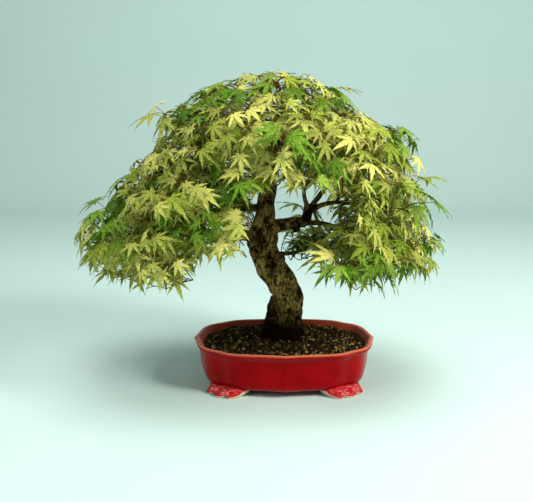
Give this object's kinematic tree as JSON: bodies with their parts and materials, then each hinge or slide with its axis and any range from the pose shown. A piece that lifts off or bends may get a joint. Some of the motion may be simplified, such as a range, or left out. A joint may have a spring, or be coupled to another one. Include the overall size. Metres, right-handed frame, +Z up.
{
  "type": "bonsai tree in a pot",
  "caption": "Ornamental maple trained as a bonsai, with a leaning trunk, spreading branches and palmate leaves, in a lobed oblong glazed pot on cloud feet.",
  "frame": {"origin": "on the surface that the pot's feet rest on, under the middle of the whole object's outline", "axes": "+Z up; +X along the pot's length, to the right as seen from the front; +Y towards the back, so the front faces -Y"},
  "size_m": [0.5293, 0.3832, 0.439],
  "materials": {
    "glaze_red": "glossy",
    "soil_grit": "rough",
    "bark": "rough",
    "leaf_variegated": "matte",
    "leaf_green": "matte",
    "screen_plastic": "matte"
  },
  "bodies": {
    "root": {"pot": "glaze_red", "drain_screen_left": "screen_plastic", "drain_screen_right": "screen_plastic", "soil": "soil_grit", "tree": "bark", "shoot_left_tip_1": "leaf_green", "shoot_left_tip_2": "leaf_variegated", "shoot_left_tip_3": "leaf_variegated", "shoot_left_tip_4": "leaf_green", "shoot_left_front_1": "leaf_variegated", "shoot_left_front_2": "leaf_variegated", "shoot_left_front_3": "leaf_green", "shoot_left_front_4": "leaf_variegated", "shoot_left_back_1": "leaf_variegated", "shoot_left_back_2": "leaf_green", "shoot_left_back_3": "leaf_variegated", "shoot_middle_left_1": "leaf_variegated", "shoot_middle_left_2": "leaf_green", "shoot_middle_left_3": "leaf_variegated", "shoot_middle_left_4": "leaf_variegated", "shoot_inner_left_1": "leaf_green", "shoot_upper_left_1": "leaf_variegated", "shoot_upper_left_2": "leaf_variegated", "shoot_upper_left_3": "leaf_green", "shoot_upper_left_4": "leaf_variegated", "shoot_high_left_back_1": "leaf_variegated", "shoot_high_left_back_2": "leaf_green", "shoot_high_left_back_3": "leaf_variegated", "shoot_top_1": "leaf_variegated", "shoot_top_2": "leaf_green", "shoot_top_3": "leaf_variegated", "shoot_top_4": "leaf_variegated", "shoot_top_5": "leaf_green", "shoot_top_front_1": "leaf_variegated", "shoot_top_front_2": "leaf_variegated", "shoot_top_front_3": "leaf_green", "shoot_top_front_4": "leaf_variegated", "shoot_upper_right_1": "leaf_variegated", "shoot_upper_right_2": "leaf_green", "shoot_upper_right_3": "leaf_variegated", "shoot_upper_right_4": "leaf_variegated", "shoot_high_right_back_1": "leaf_green", "shoot_high_right_back_2": "leaf_variegated", "shoot_high_right_back_3": "leaf_variegated", "shoot_right_front_1": "leaf_green", "shoot_right_front_2": "leaf_variegated", "shoot_right_front_3": "leaf_variegated", "shoot_right_1": "leaf_green", "shoot_right_2": "leaf_variegated", "shoot_right_3": "leaf_variegated", "shoot_right_4": "leaf_green", "shoot_lower_right_1": "leaf_variegated", "shoot_lower_right_2": "leaf_variegated", "shoot_lower_right_3": "leaf_green", "shoot_lower_right_4": "leaf_variegated", "shoot_right_back_1": "leaf_variegated", "shoot_right_back_2": "leaf_green", "shoot_right_back_3": "leaf_variegated", "shoot_back_low_1": "leaf_variegated", "shoot_back_low_2": "leaf_green"}
  },
  "joints": []
}
